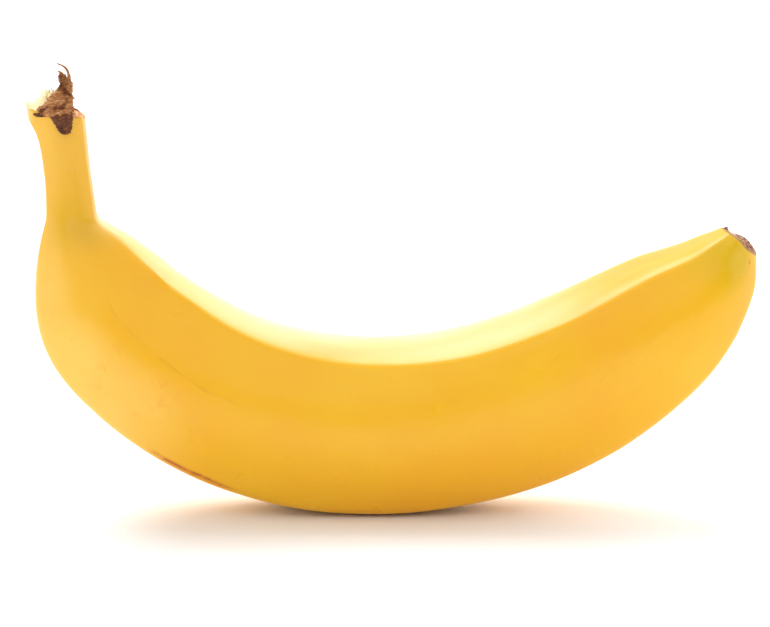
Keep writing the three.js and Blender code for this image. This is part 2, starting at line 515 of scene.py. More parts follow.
class Graph:
    """The nodes of one material."""

    def __init__(self, name: str) -> None:
        """Starts an empty material of that name."""
        self.material = bpy.data.materials.new(name)
        self.material.use_nodes = True
        self.tree = self.material.node_tree
        self.tree.nodes.clear()

    def node(self, kind: str, settings: dict | None = None,
             inputs: dict | None = None) -> bpy.types.Node:
        """Adds a node.

        Args:
            kind: the node's type.
            settings: attributes, set before the sockets.
            inputs: values or signals, by socket name or number.

        Returns:
            The node.
        """
        made = self.tree.nodes.new(kind)
        for key, value in (settings or {}).items():
            setattr(made, key, value)
        for key, value in (inputs or {}).items():
            if isinstance(value, Signal):
                self.tree.links.new(value.socket, made.inputs[key])
            else:
                made.inputs[key].default_value = value
        return made

    def maths(self, operation: str, *values: Value, clamp: bool = False) -> Signal:
        """A Math node on one to three values."""
        settings = {"operation": operation, "use_clamp": clamp}
        made = self.node("ShaderNodeMath", settings, dict(enumerate(values)))
        return Signal(self, made.outputs[0])

    def step(self, value: Value, low: float, high: float) -> Signal:
        """Goes smoothly from 0 where the value is low to 1 where it is high; low may be the larger."""
        if low > high:
            return 1.0 - self.step(value, high, low)
        inputs = {"Value": value, "From Min": low, "From Max": high}
        made = self.node("ShaderNodeMapRange", {"interpolation_type": "SMOOTHSTEP"}, inputs)
        return Signal(self, made.outputs["Result"])

    def band(self, value: Value, low: float, high: float, soft: float) -> Signal:
        """1 between low and high, fading to 0 over a soft edge outside them."""
        return self.step(value, low - soft, low) * self.step(value, high + soft, high)

    def mix(self, base: "Signal | Colour", over: "Signal | Colour", factor: Value) -> Signal:
        """Lays one colour over another by a factor."""
        made = self.tree.nodes.new("ShaderNodeMix")
        made.data_type = "RGBA"
        made.clamp_factor = True
        for key, value in ((0, factor), (6, base), (7, over)):
            if isinstance(value, Signal):
                self.tree.links.new(value.socket, made.inputs[key])
            else:
                made.inputs[key].default_value = (*value, 1.0) if key else value
        return Signal(self, made.outputs[2])

    def object_place(self) -> Signal:
        """Object coordinates, in metres."""
        return Signal(self, self.node("ShaderNodeTexCoord").outputs["Object"])

    def peel_place(self) -> tuple[Signal, Signal]:
        """Place on the peel's own map: mm along from the stem's end, and the share of a turn round."""
        layer = self.node("ShaderNodeUVMap", {"uv_map": PEEL_MAP})
        parts = self.node("ShaderNodeSeparateXYZ", inputs={0: Signal(self, layer.outputs[0])})
        return Signal(self, parts.outputs[0]) * (1.0 / MM), Signal(self, parts.outputs[1])

    def wrapped(self, along: Signal, turn: Signal, stretch: float, girth: float) -> Signal:
        """A place that closes on itself round the fruit, for grain drawn out lengthwise.

        Args:
            along: mm along the fruit.
            turn: share of a turn round it.
            stretch: lengthwise scale, per mm.
            girth: radius of the ring of pattern, in pattern units.

        Returns:
            The vector.
        """
        angle = turn * math.tau
        inputs = {
            0: along * stretch,
            1: self.maths("COSINE", angle) * girth,
            2: self.maths("SINE", angle) * girth,
        }
        return Signal(self, self.node("ShaderNodeCombineXYZ", inputs=inputs).outputs[0])

    def noise(self, place: Signal, scale: float, detail: float = 2.0, rough: float = 0.5) -> Signal:
        """Cloudy noise from 0 to 1, about 0.5."""
        inputs = {"Vector": place, "Scale": scale, "Detail": detail, "Roughness": rough}
        return Signal(self, self.node("ShaderNodeTexNoise", inputs=inputs).outputs[0])

    def dots(self, place: Signal, scale: float, size: float, share: float) -> Signal:
        """Scattered round dots.

        Args:
            place: where on the surface.
            scale: cells per metre.
            size: dot radius as a share of a cell.
            share: how many cells have a dot.

        Returns:
            1 in a dot, 0 elsewhere.
        """
        cells = self.node("ShaderNodeTexVoronoi", inputs={"Vector": place, "Scale": scale})
        near = self.step(Signal(self, cells.outputs["Distance"]), size, size * 0.4)
        chance = self.node("ShaderNodeSeparateColor", inputs={0: Signal(self, cells.outputs["Color"])})
        return near * self.step(Signal(self, chance.outputs[0]), share, share * 0.9)

    def surface(self, colour: "Signal | Colour", roughness: Value, height: Signal | None = None,
                bump: float = 0.0, **constants: float) -> bpy.types.Material:
        """Closes the material with its shader.

        Args:
            colour: base colour.
            roughness: roughness.
            height: relief in mm for fine bumps.
            bump: strength of the bumps.
            constants: other sockets that are the same all over, by name with _ for a space.

        Returns:
            The material.
        """
        shader = self.node("ShaderNodeBsdfPrincipled")
        for name, value in (("Base Color", colour), ("Roughness", roughness)):
            if isinstance(value, Signal):
                self.tree.links.new(value.socket, shader.inputs[name])
            else:
                shader.inputs[name].default_value = (*value, 1.0) if name == "Base Color" else value
        for name, value in constants.items():
            shader.inputs[name.replace("_", " ")].default_value = value
        if height is not None:
            inputs = {"Strength": bump, "Distance": MM, "Height": height}
            relief = self.node("ShaderNodeBump", inputs=inputs)
            self.tree.links.new(relief.outputs[0], shader.inputs["Normal"])
        out = self.node("ShaderNodeOutputMaterial")
        self.tree.links.new(shader.outputs[0], out.inputs[0])
        return self.material


# ---------------------------------------------------------------------------------------------------
# Finishes
# ---------------------------------------------------------------------------------------------------


@dataclass(frozen=True)
class Patch:
    """A soft-edged patch of the peel.

    along is its run in mm from its datum, and around its run in shares of a turn. end_fade and
    side_fade are how far it fades beyond them.
    """

    along: tuple[float, float]
    end_fade: float
    around: tuple[float, float] = ALL_ROUND
    side_fade: float = 1.0
    datum: Datum = Datum.TORN_END


@dataclass(frozen=True)
class Tint:
    """Another colour over a patch of the peel, stronger by mottle where the peel is cloudy."""

    colour: Colour
    patch: Patch
    strength: float
    mottle: float = 0.0


@dataclass(frozen=True)
class PeelPlace:
    """Where a point lies on the peel: in space, in mm along the fruit and in turns round it."""

    graph: Graph
    line: CentreLine
    space: Signal
    along: Signal
    turn: Signal

    def inside(self, patch: Patch) -> Signal:
        """1 inside a patch, fading to 0 outside it."""
        from_datum = self.along - self.line.datum(patch.datum)
        lengthwise = self.graph.band(from_datum, *patch.along, patch.end_fade)
        return lengthwise * self.graph.band(self.turn, *patch.around, patch.side_fade)

    def near(self, turn: float, wander: Signal) -> Signal:
        """How far round from a line that wanders about one place round the fruit, in turns."""
        return self.turn + wander - turn


@dataclass(frozen=True)
class PeelFinish:
    """Ripe peel: waxy yellow, duller on the stem, greener at the tip and browned where it is hurt, with
    a few patches and a line of painted shade and one painted highlight.
    """

    yellow: Colour = (0.84, 0.44, 0.005)
    orange: Colour = (0.84, 0.405, 0.006)
    lemon: Colour = (0.87, 0.50, 0.012)
    grain: Colour = (0.76, 0.37, 0.008)
    bruise: Colour = (0.40, 0.09, 0.003)
    crease_shade: Colour = (0.52, 0.25, 0.01)
    blush: Colour = (0.80, 0.27, 0.005)
    # Painted shade: the colour of a faint dark line where a shallow fold on the front face would be
    # shaded.
    freckle: Colour = (0.55, 0.25, 0.02)
    rust: Colour = (0.60, 0.17, 0.02)
    pith: Colour = (0.96, 0.84, 0.48)
    torn_edge: Colour = (0.93, 0.66, 0.24)
    cork: Colour = (0.27, 0.105, 0.045)
    green_tip: Tint = Tint(
        (0.66, 0.43, 0.003), Patch((-3.0, FAR), 13.0, (0.2, 0.31), 0.08, Datum.BLOSSOM_END), 0.5, 0.5
    )
    dull_stem: Tint = Tint((0.76, 0.42, 0.035), Patch((-FAR, -6.0), 18.0, datum=Datum.NECK), 0.8)
    # Painted shade: a darker ochre laid on the corner where the stem runs into the shoulder.
    neck_shade: Tint = Tint(
        (0.72, 0.40, 0.012), Patch((-3.0, 1.0), 6.0, (0.26, 0.36), 0.09, Datum.NECK), 0.3, 0.8
    )
    # Painted highlight: a paler patch low on the front near the stem end, standing in for sheen.
    belly_highlight: Tint = Tint((0.88, 0.58, 0.12), Patch((42.0, 60.0), 22.0, (0.35, 0.42), 0.07), 0.3, 0.5)
    peach_hollow: Tint = Tint((0.88, 0.48, 0.13), Patch((80.0, 158.0), 25.0, (0.03, 0.17), 0.03), 0.6)
    # Painted shade: deeper orange on the top face near the tip, standing in for weaker sheen there.
    amber_top_shade: Tint = Tint(
        (0.80, 0.36, 0.004), Patch((190.0, FAR), 40.0, (0.02, 0.13), 0.03), 0.4, 0.6
    )
    pale_rim: Tint = Tint((0.96, 0.84, 0.48), Patch((-FAR, 0.2), 2.4, (0.42, 0.54), 0.05), 0.8)
    bloom: Patch = Patch((195.0, FAR), 45.0, (0.02, 0.17), 0.03)
    scar_run: Patch = Patch((75.0, 84.0), 6.0)
    scar_turn: float = Ridge.FRONT_BASE.value - 0.0045
    # Where the painted shade line of the fold runs, along the fruit and round it.
    crease_shade_run: Patch = Patch((46.0, 80.0), 8.0)
    crease_shade_turn: float = 0.274
    blotches: tuple[Patch, Patch] = (
        Patch((53.0, 56.0), 3.0, (0.31, 0.36), 0.03),
        Patch((65.5, 68.5), 3.0, (0.31, 0.36), 0.03),
    )
    blotch_strength: float = 0.25
    nick: Patch = Patch((-2.0, -1.6), 0.4, (0.351, 0.355), 0.004, Datum.BLOSSOM_END)
    nick_strength: float = 0.55
    freckle_strength: float = 0.2
    roughness: float = 0.3
    bloom_roughness: float = 0.3
    torn_roughness: float = 0.35
    relief_strength: float = 0.3
    refraction: float = 1.45

    def material(self, line: CentreLine) -> bpy.types.Material:
        """Builds the finish.

        Args:
            line: the fruit's centre line, for the datums.

        Returns:
            The material.
        """
        graph = Graph("peel")
        spot = PeelPlace(graph, line, graph.object_place(), *graph.peel_place())

        cloud = graph.noise(spot.space, 38.0, 2.0)
        colour = graph.mix(self.yellow, self.orange, graph.step(cloud, 0.42, 0.72))
        colour = graph.mix(colour, self.lemon, graph.step(cloud, 0.46, 0.2) * 0.6)
        wide_grain = graph.noise(graph.wrapped(spot.along, spot.turn, 0.03, 5.0), 1.0, 3.0, 0.6)
        fine_grain = graph.noise(graph.wrapped(spot.along, spot.turn, 0.09, 22.0), 1.0, 3.0, 0.6)
        streaks = graph.step(wide_grain, 0.5, 0.8) * 0.14 + graph.step(fine_grain, 0.5, 0.8) * 0.1
        colour = graph.mix(colour, self.grain, streaks)
        colour = self.ripened(colour, spot)
        colour = self.marked(colour, spot)

        torn = graph.step(spot.along, -0.1, -0.7)
        colour = graph.mix(colour, self.torn_colour(spot), torn)
        corky = graph.step(spot.along, line.length - 0.25, line.length + 0.15)
        colour = graph.mix(colour, self.cork, corky)

        pores = graph.noise(spot.space, 1500.0, 2.0)
        relief = wide_grain * 0.35 + fine_grain * 0.14 + pores * 0.05
        roughness = graph.noise(spot.space, 160.0, 3.0) * 0.16 - 0.08 + self.roughness
        roughness = roughness + (torn + corky) * self.torn_roughness
        roughness = roughness + spot.inside(self.bloom) * self.bloom_roughness
        return graph.surface(colour, roughness, relief, self.relief_strength, IOR=self.refraction)

    def ripened(self, colour: Signal, spot: PeelPlace) -> Signal:
        """Lays the broad changes of colour over the yellow, among them painted shade at the neck corner
        and on the top face near the tip, and a painted highlight low on the front near the stem end.

        Args:
            colour: the yellow under them.
            spot: the place on the peel.

        Returns:
            The colour.
        """
        graph = spot.graph
        cloud = graph.noise(spot.space, 90.0)
        # Besides real colour, these tints hold painted shade at the neck corner and near the tip, and a
        # painted highlight near the stem end.
        tints = (self.green_tip, self.dull_stem, self.neck_shade, self.belly_highlight, self.peach_hollow,
                 self.amber_top_shade, self.pale_rim)
        for tint in tints:
            factor = spot.inside(tint.patch) * (cloud * tint.mottle + tint.strength)
            colour = graph.mix(colour, tint.colour, factor)
        return colour

    def marked(self, colour: Signal, spot: PeelPlace) -> Signal:
        """Lays the small marks over the peel, and a faint line of painted shade along the front face.

        Args:
            colour: the peel's colour under them.
            spot: the place on the peel.

        Returns:
            The colour.
        """
        graph = spot.graph
        rubbed, scarred = self.ridge_scar(spot)
        colour = graph.mix(colour, self.blush, rubbed)
        colour = graph.mix(colour, self.bruise, scarred)
        # Painted shade: a faint, broken dark line along the front face, where a shallow fold would be
        # shaded.
        wander = graph.noise(spot.space, 60.0) * 0.02 - 0.01
        crease_shade = graph.step(abs(spot.near(self.crease_shade_turn, wander)), 0.003, 0.0005)
        crease_shade = crease_shade * spot.inside(self.crease_shade_run)
        broken = graph.step(graph.noise(spot.space, 260.0, 3.0), 0.44, 0.6)
        colour = graph.mix(colour, self.crease_shade, crease_shade * (broken * 0.16 + 0.06))
        ragged = graph.noise(spot.space, 420.0, 3.0)
        for patch in self.blotches:
            blotch = spot.inside(patch) * graph.step(ragged, 0.5, 0.64)
            colour = graph.mix(colour, self.blush, blotch * self.blotch_strength)
        nick = spot.inside(self.nick) * graph.step(ragged, 0.4, 0.5)
        colour = graph.mix(colour, self.bruise, nick * self.nick_strength)
        freckles = graph.dots(spot.space, 210.0, 0.08, 0.05)
        return graph.mix(colour, self.freckle, freckles * self.freckle_strength)

    def ridge_scar(self, spot: PeelPlace) -> tuple[Signal, Signal]:
        """A thin scar along the front base ridge.

        Args:
            spot: the place on the peel.

        Returns:
            Masks of the reddened peel beside the scar, and of the scar itself.
        """
        graph = spot.graph
        ragged = graph.noise(spot.space, 420.0, 4.0, 0.65)
        across = spot.near(self.scar_turn, graph.noise(spot.space, 90.0) * 0.012 - 0.006)
        run = spot.inside(self.scar_run)
        rubbed = graph.band(across, 0.0, 0.012, 0.006) * run * (ragged * 0.4 + 0.3)
        scar = graph.step(abs(across), 0.0038, 0.0008) * run
        return rubbed, scar * (graph.step(ragged, 0.36, 0.56) * 0.5 + 0.35)

    def torn_colour(self, spot: PeelPlace) -> Signal:
        """The pale pith inside the torn end, rusty along the rim on the inner side."""
        graph = spot.graph
        torn = graph.noise(spot.space, 700.0, 3.0)
        pith = graph.mix(self.pith, self.torn_edge, graph.step(torn, 0.56, 0.76) * 0.5)
        inner_side = graph.step(spot.turn, 0.3, 0.24) + graph.step(spot.turn, 0.9, 0.96)
        rusty = inner_side * graph.step(spot.along, -5.0, -3.8)
        return graph.mix(pith, self.rust, rusty * (graph.step(torn, 0.4, 0.55) * 0.5 + 0.5))


@dataclass(frozen=True)
class TissueFinish:
    """Torn tissue that has dried brown."""

    name: str
    dark: Colour
    middle: Colour
    light: Colour
    roughness: float
    gloss: float = 0.2
    fibre_scale: float = 2700.0
    patch_scale: float = 405.0
    fibre_lean: float = -50.0
    fibre_stretch: float = 0.2
    relief_strength: float = 0.7

    def material(self) -> bpy.types.Material:
        """Builds the finish."""
        graph = Graph(self.name)
        place = graph.object_place()
        inputs = {
            "Vector": place,
            "Rotation": (0.0, math.radians(self.fibre_lean), 0.0),
            "Scale": (self.fibre_stretch, 1.0, 1.0),
        }
        mapping = graph.node("ShaderNodeMapping", {"vector_type": "POINT"}, inputs)
        turned = Signal(graph, mapping.outputs[0])
        fibres = graph.noise(turned, self.fibre_scale, 3.0, 0.6)
        patches = graph.noise(place, self.patch_scale, 2.0)
        colour = graph.mix(self.middle, self.light, graph.step(fibres, 0.48, 0.66))
        colour = graph.mix(colour, self.dark, graph.step(patches, 0.52, 0.68))
        relief = fibres * 0.6 + patches * 0.3
        return graph.surface(
            colour, self.roughness, relief, self.relief_strength, Specular_IOR_Level=self.gloss
        )


@dataclass(frozen=True)
class CorkFinish:
    """The dry blossom scar: brown cork with dark pits, a pale lip and one dark nub."""

    tan: Colour = (0.42, 0.20, 0.10)
    light: Colour = (0.68, 0.40, 0.23)
    dark: Colour = (0.10, 0.04, 0.03)
    lip: Colour = (0.76, 0.51, 0.33)
    nub: Colour = (0.15, 0.08, 0.07)
    edge: Colour = (0.22, 0.09, 0.05)
    lip_run: tuple[float, float] = (2.2, 3.5)
    lip_fade: float = 0.5
    nub_start: tuple[float, float] = (3.8, 4.1)
    edge_start: tuple[float, float] = (0.93, 0.985)
    roughness: float = 0.75
    gloss: float = 0.2
    relief_strength: float = 0.8

    def material(self) -> bpy.types.Material:
        """Builds the finish, whose map runs in mm from the outer side of the scar to its inner side."""
        graph = Graph("scar_cork")
        place = graph.object_place()
        inward, reach = graph.peel_place()
        lumps = graph.noise(place, 1100.0, 3.0, 0.6)
        patches = graph.noise(place, 420.0, 2.0)
        colour = graph.mix(self.tan, self.light, graph.step(patches, 0.48, 0.64))
        colour = graph.mix(colour, self.dark, graph.step(lumps, 0.54, 0.42))
        lip = graph.band(inward, *self.lip_run, self.lip_fade)
        colour = graph.mix(colour, self.lip, lip * (patches * 0.6 + 0.4))
        colour = graph.mix(colour, self.nub, graph.step(inward, *self.nub_start))
        colour = graph.mix(colour, self.edge, graph.step(reach, *self.edge_start))
        return graph.surface(
            colour, self.roughness, lumps * 0.6, self.relief_strength, Specular_IOR_Level=self.gloss
        )


@dataclass(frozen=True)
class FloorFinish:
    """Plain matt white paper."""

    white: Colour = (0.93, 0.93, 0.93)
    roughness: float = 0.9
    gloss: float = 0.2

    def material(self) -> bpy.types.Material:
        """Builds the finish."""
        return Graph("floor_white").surface(self.white, self.roughness, Specular_IOR_Level=self.gloss)


# ---------------------------------------------------------------------------------------------------
# The pieces
# ---------------------------------------------------------------------------------------------------


@dataclass(frozen=True)
class RimPeak:
    """Where the torn rim stands high, or is torn away if height is below 0, round the stem.

    height is in mm, and turn and spread are shares of a turn.
    """

    height: float
    turn: float
    spread: float


@dataclass
class Peel:
    """The whole fruit's skin, from its torn stem end to its blossom end, in one closed mesh."""

    form: FruitForm
    columns: int = 160
    stem_rows: int = 44
    fruit_rows: int = 256
    end_rows: int = 26
    scar_rows: int = 12
    tear_way: tuple[float, float, float] = (-0.03, 0.0, 1.0)
    rim_height: float = 0.7
    rim_fade: float = 8.0
    rim_fade_power: float = 1.5
    rim_raggedness: float = 0.3
    rim_radius: float = 6.0
    rim_peaks: tuple[RimPeak, ...] = (
        RimPeak(4.1, Side.OUTER.value - 0.04, 0.1),
        RimPeak(1.6, Side.LOWER_BACK.value + 0.04, 0.12),
        RimPeak(-2.2, Side.INNER.value, 0.13),
    )
    flare_swell: float = 0.75
    flare_place: float = 2.5
    flare_run: float = 1.7
    flare_tuck: float = 0.35
    tuck_run: float = 0.7
    flare_spread: float = 0.11
    pith_floor: float = 0.9
    pith_crest_height: float = 3.6
    pith_crest: tuple[float, float] = (-3.2, 0.6)
    pith_crest_spread: tuple[float, float] = (1.9, 3.8)
    pith_outer_rise: float = 2.6
    pith_jags: float = 0.55
    pith_spikes: float = 0.35
    groove_depth: float = 0.6
    groove_place: float = 0.86
    groove_spread: float = 0.06
    torn_map_length: float = 8.0
    torn_map_gap: float = 0.3
    lumpiness: float = 0.22
    lump_size: float = 13.0
    lump_stretch: tuple[float, float, float] = (0.5, 1.0, 0.8)
    stem_lump_share: float = 0.25
    neck_softness: float = 7.0
    neck_rounds: int = 12
    crook_place: float = 11.0
    crook_softness: float = 7.0
    crook_rounds: int = 80
    slant_run: float = 7.0
    scar_recess: float = 0.35
    scar_swell: float = 0.25

    def build(self, material: bpy.types.Material) -> bpy.types.Object:
        """Makes the piece that stands for the fruit.

        Args:
            material: the peel's finish.

        Returns:
            The piece.
        """
        around = np.linspace(0.0, 1.0, self.columns + 1)
        torn, torn_along = self.torn_end(around)
        skin, skin_along = self.skin(around)
        scar, scar_along = self.scar_end(skin[-1], skin_along[-1])
        points = np.concatenate([torn, skin, scar])
        along = np.concatenate([torn_along, skin_along, scar_along])
        points = points + self.form.seat()
        points[..., 2] = np.maximum(points[..., 2], 0.0)
        points[:, -1] = points[:, 0]
        bm = wrapped_grid(points, along * MM, around)
        piece = finished("banana_peel", bm, material)
        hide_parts("banana")
        return piece

    def rim_lift(self, around: np.ndarray) -> np.ndarray:
        """How far the torn edge stands above the cut of the stem, in mm, round the stem."""
        turn = around * math.tau
        loop = np.stack([np.cos(turn), np.sin(turn), np.zeros_like(turn)], axis=1) * self.rim_radius
        lift = self.rim_height + self.rim_raggedness * rough(loop, 1.1, 1.0, 3)
        for peak in self.rim_peaks:
            lift = lift + peak.height * ring_hump(around, peak.turn, peak.spread)
        return lift

    def skin(self, around: np.ndarray) -> tuple[np.ndarray, np.ndarray]:
        """The skin from the torn rim to the scar, with each point's distance along in mm."""
        form = self.form
        neck = form.line.stem.length
        stem = np.linspace(0.0, neck, self.stem_rows, endpoint=False)
        fruit = np.linspace(neck, form.line.length, self.fruit_rows)
        distances = np.concatenate([stem, fruit])
        rings = np.stack([form.ring(distance, around) for distance in distances])
        centres = np.stack([form.line.at(distance)[0] for distance in distances])[:, None]
        self.add_lumps(rings, centres, distances)
        self.soften_neck(rings, distances)
        self.tear_rim(rings, around, distances)
        self.slant_end(rings, centres, distances)
        return rings, np.broadcast_to(distances[:, None], rings.shape[:2]).copy()

    def add_lumps(self, rings: np.ndarray, centres: np.ndarray, distances: np.ndarray) -> None:
        """Makes the skin slightly uneven, less on the stem and not at all at the blossom end."""
        neck = self.form.line.stem.length
        end = self.form.line.length
        out = rings - centres
        out /= np.linalg.norm(out, axis=2, keepdims=True)
        lumps = rough(rings * np.array(self.lump_stretch), self.lump_size, 2.0)
        share = smooth_step(distances, neck * 0.4, neck + 12.0)
        share = share * (1.0 - self.stem_lump_share) + self.stem_lump_share
        share = share * smooth_step(distances, end, end - 8.0)
        rings += out * (lumps * self.lumpiness * share[:, None])[..., None]

    def tear_rim(self, rings: np.ndarray, around: np.ndarray, distances: np.ndarray) -> None:
        """Draws the stem's edge up where it tore, and curls its outer side out."""
        fade = np.clip(1.0 - distances / self.rim_fade, 0.0, 1.0) ** self.rim_fade_power
        lift = self.rim_lift(around)[None, :] * fade[:, None]
        rings += lift[..., None] * np.array(self.tear_way)
        swell = self.flare_swell * hump(distances, self.flare_place, self.flare_run)
        flare = swell - self.flare_tuck * hump(distances, 0.0, self.tuck_run)
        outer_side = ring_hump(around, Side.OUTER.value - 0.02, self.flare_spread)
        rings[..., 0] -= flare[:, None] * outer_side[None, :]

    def slant_end(self, rings: np.ndarray, centres: np.ndarray, distances: np.ndarray) -> None:
        """Slants the blossom end as the scar lies."""
        end = self.form.line.length
        ahead, to_inner = self.form.line.ways(end)
        slant = self.form.scar_slant((rings - centres) @ to_inner, rings[..., 1])
        slant = slant * smooth_step(distances, end - self.slant_run, end)[:, None]
        rings += slant[..., None] * ahead

    def torn_end(self, around: np.ndarray) -> tuple[np.ndarray, np.ndarray]:
        """The torn pith inside the stem's rim, from its middle out, with map distances below 0."""
        rim = self.form.ring(0.0, around)
        shares = np.linspace(0.0, 1.0, self.end_rows, endpoint=False)
        flat = rim[None] * shares[:, None, None]
        crest = hump(flat[..., 0], self.pith_crest[0], self.pith_crest_spread[0])
        crest = crest * hump(flat[..., 1], self.pith_crest[1], self.pith_crest_spread[1])
        outer_part = smooth_step(flat[..., 0], -1.0, -5.0)
        pith = self.pith_floor + self.pith_crest_height * crest + self.pith_outer_rise * outer_part
        level = flat * np.array([1.0, 1.0, 0.0])
        pith = pith + self.pith_jags * rough(level, 1.3, 3.0, 3)
        pith = pith + self.pith_spikes * rough(level, 0.55, 4.0, 2)
        inside = smooth_step(1.0 - shares, 0.03, 0.4)[:, None]
        groove = self.groove_depth * hump(shares, self.groove_place, self.groove_spread)[:, None]
        height = pith * inside + self.rim_lift(around)[None, :] * (1.0 - inside) - groove
        height[0] = height[0].mean()
        points = flat + height[..., None] * np.array(self.tear_way)
        along = -(1.0 - shares)[:, None] * self.torn_map_length - self.torn_map_gap
        return points, np.broadcast_to(along, height.shape).copy()

    def scar_end(self, last: np.ndarray, along: np.ndarray) -> tuple[np.ndarray, np.ndarray]:
        """The rounded edge and shallow hollow that the blossom scar sits in.

        Args:
            last: the skin's last ring, in mm.
            along: its distances along, in mm.

        Returns:
            Points from that ring in to the middle, and their distances along.
        """
        form = self.form
        middle = form.line.at(form.line.length)[0]
        ahead, to_inner = form.line.ways(form.line.length)
        shares = np.linspace(1.0, 0.0, self.scar_rows + 1)[1:]
        edge = last - middle
        inner = edge[None] * shares[:, None, None]
        edge_slant = form.scar_slant(edge @ to_inner, edge[:, 1])
        slant = form.scar_slant(inner @ to_inner, inner[..., 1])
        inner += (slant - edge_slant * shares[:, None])[..., None] * ahead
        dip = self.scar_recess * smooth_step(1.0 - shares, 0.12, 0.4)
        swell = self.scar_swell * hump(shares, 0.93, 0.06)
        points = middle + inner + ((swell - dip)[:, None] * ahead)[:, None]
        return points, np.broadcast_to((along.max() + 1.0 - shares)[:, None], points.shape[:2]).copy()

    def soften_neck(self, rings: np.ndarray, distances: np.ndarray) -> None:
        """Rounds the corner where the stem runs into the shoulder, less and less away from it."""
        weight = 0.5 * hump(distances[1:-1], self.form.line.stem.length + 1.0, self.neck_softness)
        for _ in range(self.neck_rounds):
            closed = rings[1:-1, :-1]
            beside = (np.roll(closed, 1, axis=1) + np.roll(closed, -1, axis=1)) / 2.0
            before_after = (rings[:-2, :-1] + rings[2:, :-1]) / 2.0
            mean = (beside + before_after) / 2.0
            rings[1:-1, :-1] += weight[:, None, None] * (mean - closed)
            rings[:, -1] = rings[:, 0]
        crook = self.form.line.stem.length + self.crook_place
        weight = 0.5 * hump(distances[1:-1], crook, self.crook_softness)
        for _ in range(self.crook_rounds):
            mean = (rings[:-2] + rings[2:]) / 2.0
            rings[1:-1] += weight[:, None, None] * (mean - rings[1:-1])


@dataclass(frozen=True)
class Girdle:
    """One level of a lobe of torn tissue, in mm from the middle of the stem's end."""

    height: float
    left: float
    right: float
    thickness: float


@dataclass
class TornLobe:
    """A flattened lobe of torn tissue that clings to the front of the stem's end."""

    name: str
    girdles: tuple[Girdle, ...]
    stand_off: float = 0.0
    ragged: float = 0.35
    relief: float = 0.18
    seed: float = 5.0
    squareness: float = 16.0
    rows: int = 72
    columns: int = 64
    stem_depth: float = 6.2
    stem_reach: float = 7.9
    lean_back: float = 2.2
    lean_top: float = 9.5
    edge_stretch: tuple[float, float, float] = (0.6, 1.0, 1.6)
    edge_size: float = 0.8
    fibre_slope: float = 32.0
    fibre_squeeze: tuple[float, float, float] = (0.35, 1.0, 1.5)
    fibre_size: float = 0.5

    def build(self, origin: np.ndarray, material: bpy.types.Material) -> bpy.types.Object:
        """Makes the lobe.

        Args:
            origin: the middle of the stem's end, in mm.
            material: its finish.

        Returns:
            The piece.
        """
        levels = [girdle.height for girdle in self.girdles]
        sizes = [(girdle.left, girdle.right, girdle.thickness) for girdle in self.girdles]
        turn = np.linspace(0.0, math.tau, self.columns + 1)
        rings = []
        for share in np.linspace(0.0, 1.0, self.rows):
            height = levels[0] + share * (levels[-1] - levels[0])
            left, right, thickness = smooth_run(levels, sizes, height)
            closing = math.sqrt(max(0.0, 1.0 - abs(2.0 * share - 1.0) ** self.squareness))
            half = (right - left) / 2.0 * closing
            x = (left + right) / 2.0 + half * np.cos(turn)
            y = self.front(x, height) + thickness / 2.0 * closing * np.sin(turn)
            rings.append(np.stack([x, y, np.full_like(x, height)], axis=1))
        points = np.stack(rings)
        centre = points.mean(axis=1, keepdims=True)
        out = points - centre
        out /= np.maximum(np.linalg.norm(out, axis=2, keepdims=True), 0.05)
        edge = rough(points * np.array(self.edge_stretch), self.edge_size, self.seed, 3)
        grain = rough(points @ self.fibre_frame(), self.fibre_size, self.seed + 1.0, 3)
        sides = np.abs(np.cos(turn))[None, :]
        push = edge * self.ragged * sides + grain * self.relief
        push[0] = push[-1] = 0.0
        points = points + out * push[..., None]
        points[:, -1] = points[:, 0]
        share = np.linspace(0.0, 1.0, self.rows)[:, None] * np.ones_like(turn)[None]
        bm = wrapped_grid(points + origin, share, turn / math.tau)
        return finished(self.name, bm, material)

    def front(self, x: np.ndarray, height: float) -> np.ndarray:
        """Y of the stem's front at x, leaning back above the stem's end."""
        hug = -self.stem_depth * np.sqrt(np.clip(1.0 - (x / self.stem_reach) ** 2, 0.02, 1.0))
        lean = float(smooth_step(height, 0.5, self.lean_top))
        return (hug - self.stand_off) * (1.0 - lean) - self.lean_back * lean

    def fibre_frame(self) -> np.ndarray:
        """Squeezes the relief into fibres that slope up to the right."""
        lean = math.radians(self.fibre_slope)
        cosine, sine = math.cos(lean), math.sin(lean)
        turn = np.array([[cosine, 0.0, -sine], [0.0, 1.0, 0.0], [sine, 0.0, cosine]])
        return turn @ np.diag(self.fibre_squeeze)


